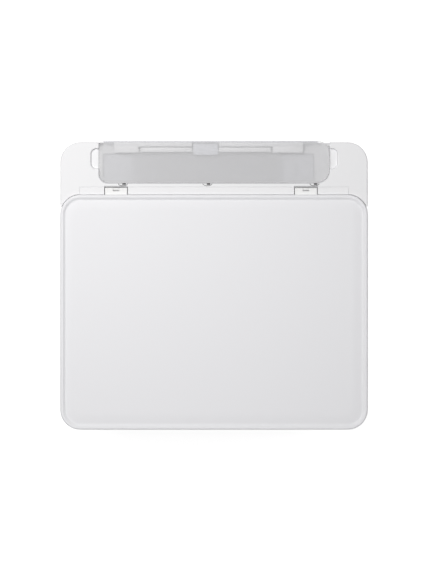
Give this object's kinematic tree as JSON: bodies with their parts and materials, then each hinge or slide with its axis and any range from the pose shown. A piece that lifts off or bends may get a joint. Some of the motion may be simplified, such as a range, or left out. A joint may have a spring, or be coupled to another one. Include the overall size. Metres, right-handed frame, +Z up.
{
  "type": "multifunction printer",
  "caption": "Compact home ink-jet printer with a flatbed scanner, document lid, front cassette, rear paper support and slide-out tray.",
  "frame": {"origin": "on the floor under the middle of the machine's plan", "axes": "+X to the right seen from the front, +Y to the back, +Z up"},
  "size_m": [0.376, 0.353, 0.141],
  "materials": {
    "case_white": "fine grain white ABS",
    "lid_white": "fine grain white ABS",
    "deck_white": "fine grain white ABS",
    "scanner_white": "fine grain white ABS",
    "liner_white": "smooth white plastic",
    "pad_white": "soft white foam sheet",
    "leg_white": "white acetal with a steel pin",
    "support_tint": "tinted clear plastic",
    "extension_tint": "tinted clear plastic",
    "flap_grey": "light grey plastic",
    "base_dark": "dark grey plastic",
    "inner_dark": "black plastic",
    "tray_grey": "dark grey plastic",
    "cassette_grey": "dark grey plastic",
    "guide_grey": "grey plastic",
    "panel_white": "white plastic",
    "screen_black": "gloss black screen",
    "key_grey": "grey keys",
    "foot_rubber": "black rubber",
    "roller_rubber": "grey rubber",
    "sheet_steel": "zinc plated sheet",
    "shaft_steel": "ground steel",
    "screw_steel": "zinc plated screws",
    "motor_steel": "plated motor can",
    "gear_white": "natural acetal",
    "pulley_white": "natural acetal",
    "belt_black": "black timing belt",
    "carriage_black": "black plastic",
    "cartridge_black": "black plastic",
    "lever_grey": "grey plastic",
    "glass_clear": "clear float glass",
    "bar_black": "black plastic",
    "stay_grey": "grey plastic",
    "supply_grey": "dark grey plastic",
    "board_green": "green solder mask"
  },
  "bodies": {
    "base": {"outer_case": "case_white", "bottom_case": "base_dark", "rubber_feet": "foot_rubber", "case_screws": "screw_steel", "rear_deck": "deck_white", "mid_frame": "inner_dark", "engine_frame": "sheet_steel", "guide_rod": "shaft_steel", "feed_motor": "motor_steel", "roller_carriers": "inner_dark", "platen": "inner_dark", "turn_guide": "inner_dark", "carriage_belt": "belt_black", "carriage_motor": "motor_steel", "maintenance_station": "inner_dark", "feed_plate": "inner_dark", "power_supply": "supply_grey", "main_board": "board_green"},
    "panel": {"operation_panel": "panel_white", "panel_screen": "screen_black"},
    "stop_key": {"stop_button": "key_grey"},
    "start_key": {"start_button": "key_grey"},
    "power_key": {"power_button": "key_grey"},
    "tray": {"output_tray": "tray_grey"},
    "stopper": {"paper_stopper": "tray_grey"},
    "cassette_box": {"cassette": "cassette_grey"},
    "cassette_plate": {"lift_plate": "sheet_steel"},
    "guide_left": {"paper_guide_left": "guide_grey"},
    "guide_right": {"paper_guide_right": "guide_grey"},
    "guide_end": {"end_guide": "guide_grey"},
    "arm": {"pickup_arm": "inner_dark"},
    "arm_roller": {"pickup_roller": "roller_rubber"},
    "support": {"paper_support": "support_tint"},
    "extension": {"support_extension": "extension_tint"},
    "flap": {"feed_slot_cover": "flap_grey"},
    "hopper": {"hopper_plate": "guide_grey"},
    "rear_feed": {"rear_roller": "roller_rubber"},
    "feed": {"feed_roller": "shaft_steel"},
    "idler": {"idler_gear": "gear_white"},
    "pinion": {"motor_pinion": "gear_white"},
    "eject": {"eject_roller": "roller_rubber"},
    "pinch": {"pinch_rollers": "roller_rubber"},
    "stars": {"star_wheels": "shaft_steel"},
    "print_carriage": {"carriage": "carriage_black", "ink_cartridges": "cartridge_black"},
    "lock_left": {"lever_left": "lever_grey"},
    "lock_right": {"lever_right": "lever_grey"},
    "pulley_right": {"motor_pulley": "pulley_white"},
    "pulley_left": {"idler_pulley": "pulley_white"},
    "scanner": {"scanner_base": "scanner_white", "scanner_top": "scanner_white", "platen_glass": "glass_clear", "scan_rail": "shaft_steel"},
    "scan_head": {"scan_bar": "bar_black"},
    "stay": {"scanner_stay": "stay_grey"},
    "lid_legs": {"lid_hinge_legs": "leg_white"},
    "lid": {"lid_cover": "lid_white", "lid_liner": "liner_white", "document_pad": "pad_white"},
    "back_cover": {"transport_cover": "case_white"}
  },
  "joints": [
    {"name": "scanner_open", "type": "hinge", "parent": "base", "child": "scanner", "pos_m": [0, 0.1188, 0.1356], "axis": [-1, 0, 0], "range_deg": [0, 30]},
    {"name": "stay_swing", "type": "hinge", "parent": "base", "child": "stay", "pos_m": [0.1775, 0.02, 0.088], "axis": [-1, 0, 0], "range_deg": [0, 56]},
    {"name": "lid_lift", "type": "slide", "parent": "scanner", "child": "lid_legs", "axis": [0, 0, 1], "range_m": [0, 0.01]},
    {"name": "lid_open", "type": "hinge", "parent": "lid_legs", "child": "lid", "pos_m": [0, 0.1176, 0.136], "axis": [-1, 0, 0], "range_deg": [0, 75]},
    {"name": "scan_travel", "type": "slide", "parent": "scanner", "child": "scan_head", "axis": [1, 0, 0], "range_m": [0, 0.308]},
    {"name": "panel_tilt", "type": "hinge", "parent": "base", "child": "panel", "pos_m": [-0.0095, -0.1725, 0.0933], "axis": [-1, 0, 0], "range_deg": [0, 60]},
    {"name": "stop_press", "type": "slide", "parent": "panel", "child": "stop_key", "axis": [0, 1, 0], "range_m": [0, 0.0008], "stiffness_N_per_m": 800},
    {"name": "start_press", "type": "slide", "parent": "panel", "child": "start_key", "axis": [0, 1, 0], "range_m": [0, 0.0008], "stiffness_N_per_m": 800},
    {"name": "power_press", "type": "slide", "parent": "panel", "child": "power_key", "axis": [0, 1, 0], "range_m": [0, 0.0008], "stiffness_N_per_m": 800},
    {"name": "tray_slide", "type": "slide", "parent": "base", "child": "tray", "axis": [0, -1, 0], "range_m": [0, 0.12]},
    {"name": "stopper_raise", "type": "hinge", "parent": "tray", "child": "stopper", "pos_m": [-0.0095, -0.1667, 0.0402], "axis": [1, 0, 0], "range_deg": [0, 80]},
    {"name": "cassette_slide", "type": "slide", "parent": "base", "child": "cassette_box", "axis": [0, -1, 0], "range_m": [0, 0.2]},
    {"name": "plate_rise", "type": "hinge", "parent": "cassette_box", "child": "cassette_plate", "pos_m": [-0.0095, 0.022, 0.0111], "axis": [1, 0, 0], "range_deg": [0, 3]},
    {"name": "guide_left_slide", "type": "slide", "parent": "cassette_box", "child": "guide_left", "axis": [1, 0, 0], "range_m": [0, 0.04]},
    {"name": "guide_right_slide", "type": "slide", "parent": "cassette_box", "child": "guide_right", "axis": [-1, 0, 0], "range_m": [0, 0.04]},
    {"name": "guide_end_slide", "type": "slide", "parent": "cassette_box", "child": "guide_end", "axis": [0, 1, 0], "range_m": [0, 0.07]},
    {"name": "arm_swing", "type": "hinge", "parent": "base", "child": "arm", "pos_m": [-0.0095, 0.062, 0.0302], "axis": [-1, 0, 0], "range_deg": [0, 5]},
    {"name": "arm_roller_spin", "type": "hinge", "parent": "arm", "child": "arm_roller", "pos_m": [-0.0095, 0.105, 0.0273], "axis": [1, 0, 0], "continuous": true},
    {"name": "support_open", "type": "hinge", "parent": "base", "child": "support", "pos_m": [0, 0.1715, 0.1352], "axis": [-1, 0, 0], "range_deg": [0, 115]},
    {"name": "extension_slide", "type": "slide", "parent": "support", "child": "extension", "axis": [0, -1, 0], "range_m": [0, 0.03]},
    {"name": "flap_open", "type": "hinge", "parent": "base", "child": "flap", "pos_m": [-0.0066, 0.1294, 0.1282], "axis": [1, 0, 0], "range_deg": [0, 70]},
    {"name": "hopper_tilt", "type": "hinge", "parent": "base", "child": "hopper", "pos_m": [-0.0095, 0.1471, 0.11645], "axis": [-1, 0, 0], "range_deg": [0, 5]},
    {"name": "rear_feed_spin", "type": "hinge", "parent": "base", "child": "rear_feed", "pos_m": [-0.0095, 0.0934, 0.0782], "axis": [1, 0, 0], "continuous": true},
    {"name": "feed_spin", "type": "hinge", "parent": "base", "child": "feed", "pos_m": [0, 0.038, 0.05], "axis": [1, 0, 0], "continuous": true},
    {"name": "pinch_spin", "type": "hinge", "parent": "base", "child": "pinch", "pos_m": [-0.0095, 0.038, 0.05865], "axis": [1, 0, 0], "continuous": true},
    {"name": "idler_spin", "type": "hinge", "parent": "base", "child": "idler", "pos_m": [-0.1777, 0.0065, 0.05], "axis": [1, 0, 0], "continuous": true},
    {"name": "pinion_spin", "type": "hinge", "parent": "base", "child": "pinion", "pos_m": [-0.1777, 0.05773, 0.05718], "axis": [1, 0, 0], "continuous": true},
    {"name": "eject_spin", "type": "hinge", "parent": "base", "child": "eject", "pos_m": [0, -0.022, 0.05], "axis": [1, 0, 0], "continuous": true},
    {"name": "star_spin", "type": "hinge", "parent": "base", "child": "stars", "pos_m": [0, -0.022, 0.05865], "axis": [1, 0, 0], "continuous": true},
    {"name": "carriage_travel", "type": "slide", "parent": "base", "child": "print_carriage", "axis": [-1, 0, 0], "range_m": [0, 0.266]},
    {"name": "lock_left_press", "type": "hinge", "parent": "print_carriage", "child": "lock_left", "pos_m": [0.117, -0.027, 0.087], "axis": [1, 0, 0], "range_deg": [0, 20]},
    {"name": "lock_right_press", "type": "hinge", "parent": "print_carriage", "child": "lock_right", "pos_m": [0.149, -0.027, 0.087], "axis": [1, 0, 0], "range_deg": [0, 20]},
    {"name": "pulley_right_spin", "type": "hinge", "parent": "base", "child": "pulley_right", "pos_m": [0.157, 0.0635, 0.082], "axis": [0, 0, 1], "continuous": true},
    {"name": "pulley_left_spin", "type": "hinge", "parent": "base", "child": "pulley_left", "pos_m": [-0.16, 0.0635, 0.082], "axis": [0, 0, 1], "continuous": true},
    {"name": "back_cover_slide", "type": "slide", "parent": "base", "child": "back_cover", "axis": [0, 1, 0], "range_m": [0, 0.03]}
  ],
  "couplings": [
    {"joint": "stay_swing", "follows": "scanner_open", "ratio": 1.85},
    {"joint": "guide_right_slide", "follows": "guide_left_slide", "ratio": 1},
    {"joint": "extension_slide", "follows": "support_open", "m_per_rad": 0.014947},
    {"joint": "flap_open", "follows": "support_open", "ratio": 0.6087},
    {"joint": "pinch_spin", "follows": "feed_spin", "ratio": -1.4286},
    {"joint": "idler_spin", "follows": "feed_spin", "ratio": -0.90909},
    {"joint": "pinion_spin", "follows": "feed_spin", "ratio": -2.5},
    {"joint": "eject_spin", "follows": "feed_spin", "ratio": 1.25},
    {"joint": "star_spin", "follows": "feed_spin", "ratio": -1.1111},
    {"joint": "pulley_right_spin", "follows": "carriage_travel", "rad_per_m": -178.57},
    {"joint": "pulley_left_spin", "follows": "carriage_travel", "rad_per_m": -178.57}
  ]
}
